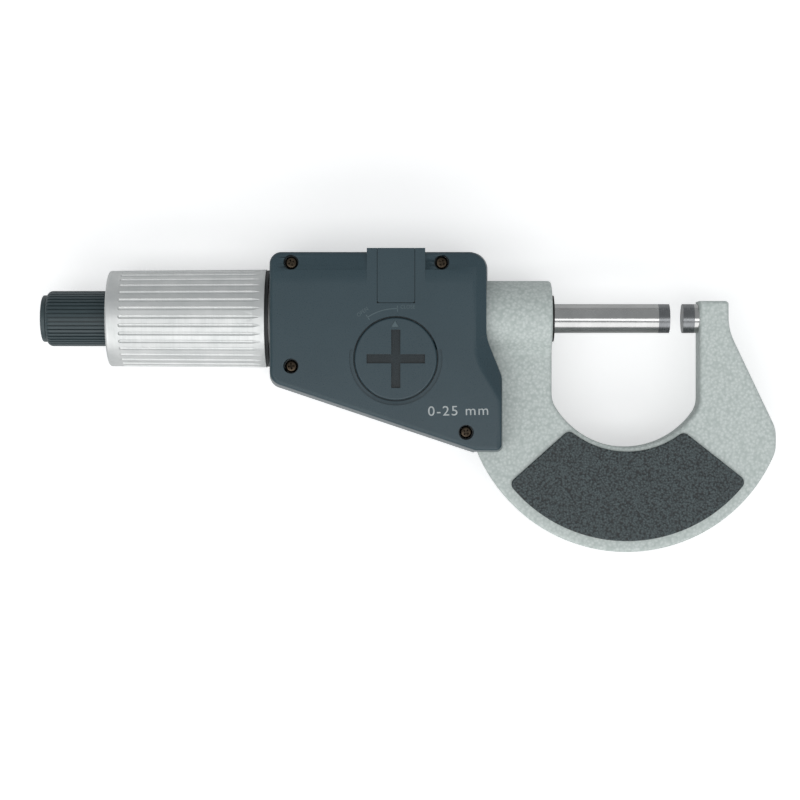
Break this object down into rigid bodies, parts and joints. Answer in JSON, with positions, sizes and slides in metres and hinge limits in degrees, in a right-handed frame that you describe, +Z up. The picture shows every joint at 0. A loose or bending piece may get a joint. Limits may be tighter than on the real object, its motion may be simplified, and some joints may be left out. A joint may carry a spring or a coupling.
{
  "type": "digital outside micrometer",
  "caption": "Digital outside micrometer of 25 mm range: hammered bow frame with grip plates, electronics housing, fluted thimble and ratchet stop, lying on its display side.",
  "frame": {"origin": "middle of the whole instrument's footprint, on the plane that it lies on", "axes": "+X along the spindle towards the anvil, +Y away from the bow, +Z up out of the rear cover"},
  "size_m": [0.163, 0.0668, 0.0255],
  "materials": {
    "hammered_enamel": "hammered enamel",
    "housing_plastic": "fine matt, slightly glossy edges",
    "grip_pad": "leather grain",
    "black_steel": "blackened",
    "rubber": "matt",
    "cell_steel": "polished",
    "contact_metal": "plated",
    "black_plastic": "matt",
    "carbide": "ground",
    "ground_steel": "ground",
    "satin_aluminium": "satin chrome",
    "knob_plastic": "matt",
    "button_plastic": "matt",
    "board_green": "lacquered",
    "window_clear": "polished",
    "lcd_grey": "polished"
  },
  "bodies": {
    "root": {"frame": "hammered_enamel", "rear_cover": "housing_plastic", "front_cover": "housing_plastic", "rear_grip_plate": "grip_pad", "front_grip_plate": "grip_pad", "cover_screws": "black_steel", "battery": "cell_steel", "battery_contact_minus": "contact_metal", "battery_contact_plus": "contact_metal", "port_socket": "black_plastic", "port_pins": "contact_metal", "anvil_tip": "carbide", "anvil": "ground_steel", "spindle_wiper": "rubber", "encoder_stator": "board_green", "inner_sleeve": "ground_steel", "outer_sleeve": "satin_aluminium", "adjusting_nut": "ground_steel", "display_window": "window_clear", "lcd_glass": "lcd_grey", "lcd_holder": "black_plastic", "lcd_connector": "rubber", "circuit_board": "board_green", "keypad": "rubber"},
    "encoder": {"encoder_rotor": "black_plastic"},
    "spindle": {"spindle": "ground_steel", "spindle_tip": "carbide", "thimble": "satin_aluminium", "thimble_ring": "black_plastic", "thimble_bush": "ground_steel", "ratchet_ring": "ground_steel", "ratchet_screw": "ground_steel"},
    "ratchet": {"ratchet_knob": "knob_plastic", "knob_cap": "knob_plastic", "ratchet_pawl": "ground_steel", "ratchet_spring": "ground_steel"},
    "clamp": {"clamp_lever": "housing_plastic", "clamp_shaft": "ground_steel"},
    "battery_lid": {"battery_cover": "housing_plastic", "battery_seal": "rubber"},
    "port_lid": {"port_cover": "housing_plastic"},
    "key_1": {"button_1": "button_plastic"},
    "key_2": {"button_2": "button_plastic"},
    "key_3": {"button_3": "button_plastic"}
  },
  "joints": [
    {"name": "spindle_turn", "type": "hinge", "parent": "root", "child": "encoder", "pos_m": [0.00605, 0.0185, 0.0129], "axis": [1, 0, 0], "range_deg": [-15876, 2124]},
    {"name": "spindle_feed", "type": "slide", "parent": "encoder", "child": "spindle", "axis": [1, 0, 0], "range_m": [-0.02205, 0.00295]},
    {"name": "ratchet_turn", "type": "hinge", "parent": "spindle", "child": "ratchet", "pos_m": [-0.07395, 0.0185, 0.0129], "axis": [1, 0, 0], "continuous": true},
    {"name": "clamp_turn", "type": "hinge", "parent": "root", "child": "clamp", "pos_m": [0.02425, 0.0185, 0.0049], "axis": [0, 0, 1], "range_deg": [0, 60]},
    {"name": "battery_cover_turn", "type": "hinge", "parent": "root", "child": "battery_lid", "pos_m": [-0.00275, 0.0093, 0.0239], "axis": [0, 0, 1], "range_deg": [0, 45]},
    {"name": "port_cover_slide", "type": "slide", "parent": "root", "child": "port_lid", "axis": [0, 1, 0], "range_m": [0, 0.012]},
    {"name": "button_1_press", "type": "slide", "parent": "root", "child": "key_1", "axis": [0, 0, 1], "range_m": [0, 0.0005], "stiffness_N_per_m": 600, "springref_m": -0.0005},
    {"name": "button_2_press", "type": "slide", "parent": "root", "child": "key_2", "axis": [0, 0, 1], "range_m": [0, 0.0005], "stiffness_N_per_m": 600, "springref_m": -0.0005},
    {"name": "button_3_press", "type": "slide", "parent": "root", "child": "key_3", "axis": [0, 0, 1], "range_m": [0, 0.0005], "stiffness_N_per_m": 600, "springref_m": -0.0005}
  ],
  "couplings": [
    {"joint": "spindle_turn", "follows": "spindle_feed", "rad_per_m": 12566}
  ]
}
